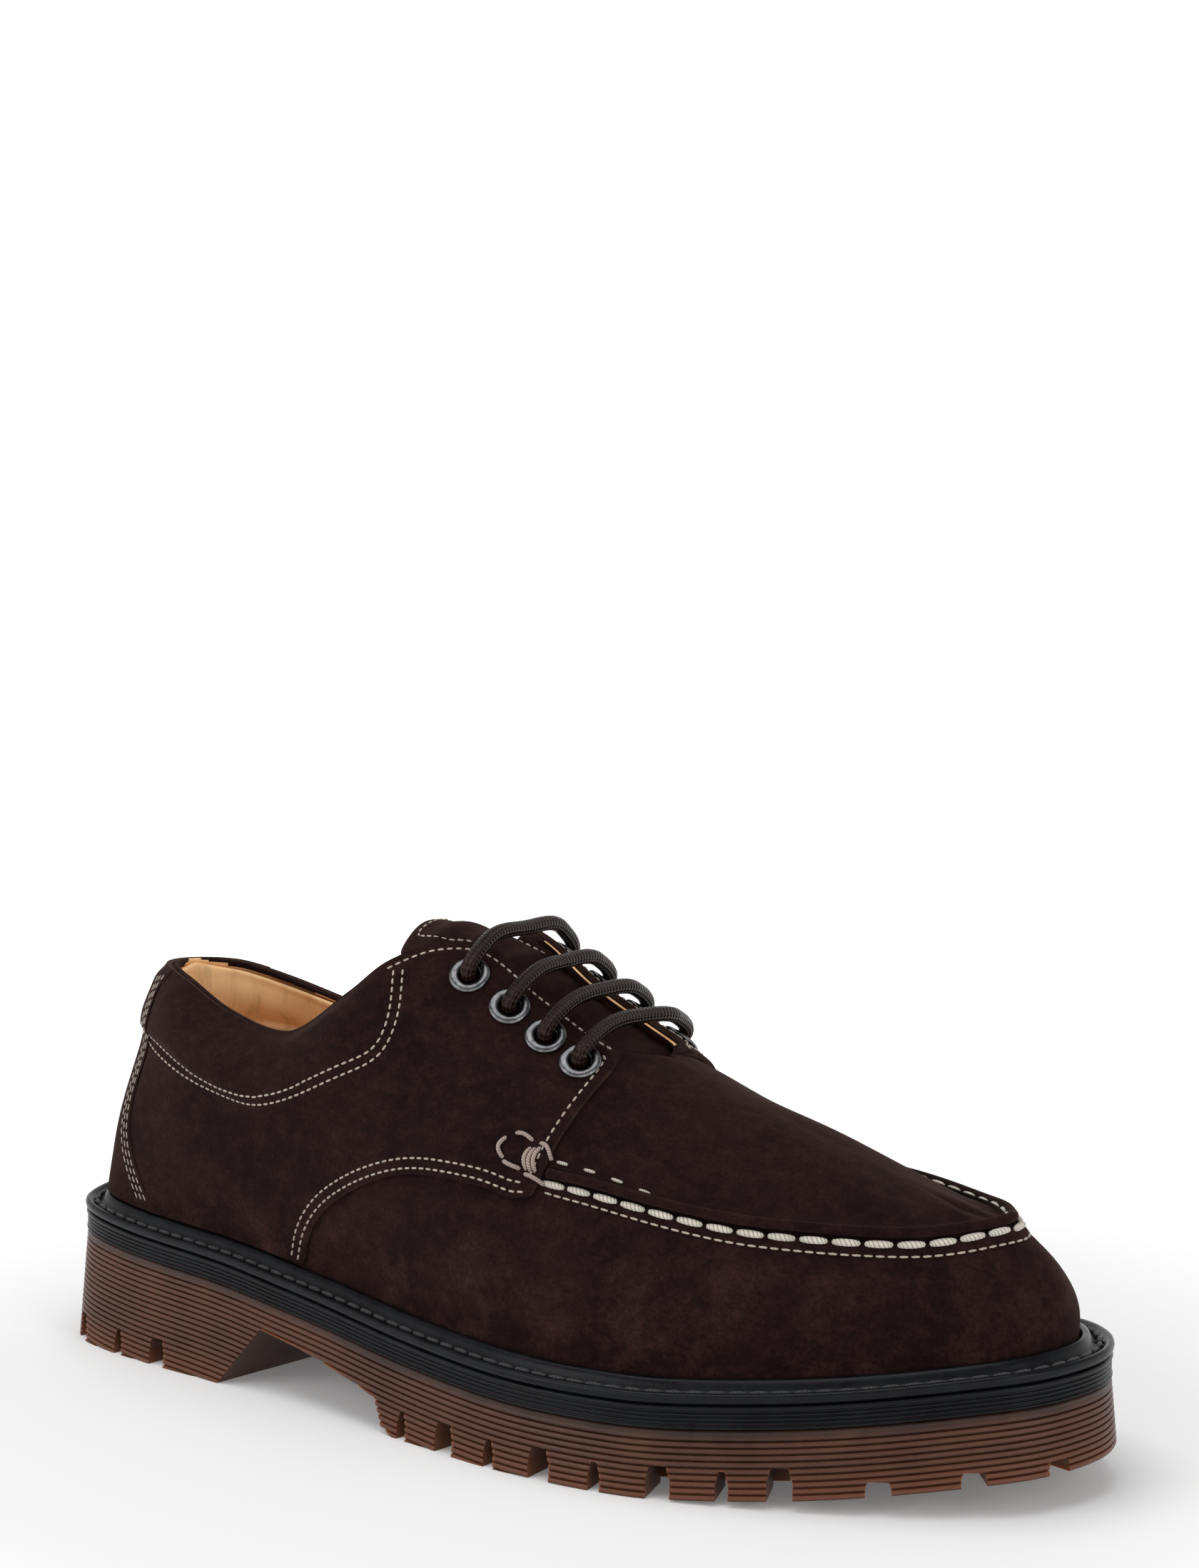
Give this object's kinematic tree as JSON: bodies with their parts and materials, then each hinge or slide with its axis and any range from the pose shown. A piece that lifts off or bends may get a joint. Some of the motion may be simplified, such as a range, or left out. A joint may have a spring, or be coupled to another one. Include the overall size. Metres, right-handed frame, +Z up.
{
  "type": "moc toe derby shoe",
  "caption": "Right lace-up derby shoe with a raised moc toe seam, padded collar, stitched welt and thick ribbed lug sole.",
  "frame": {"origin": "centre of the shoe's box on the floor", "axes": "+X from heel to toe, +Y to the inner side of the foot, +Z up"},
  "size_m": [0.3187, 0.1189, 0.1306],
  "materials": {
    "gum": "translucent brown gum, satin",
    "welt_rubber": "near-black satin",
    "lining": "smooth tan lining leather",
    "suede": "dark reddish brown suede",
    "eyelet": "gunmetal",
    "lace": "waxed round braid"
  },
  "bodies": {
    "root": {"outsole": "gum", "midsole": "welt_rubber", "welt": "welt_rubber", "insole": "lining", "upper": "suede", "quarter_lateral": "suede", "quarter_medial": "suede", "backstay": "suede", "collar_lining": "lining", "tongue": "suede", "eyelet_lateral_1": "eyelet", "eyelet_lateral_2": "eyelet", "eyelet_lateral_3": "eyelet", "eyelet_lateral_4": "eyelet", "eyelet_medial_1": "eyelet", "eyelet_medial_2": "eyelet", "eyelet_medial_3": "eyelet", "eyelet_medial_4": "eyelet", "lace": "lace"}
  },
  "joints": []
}
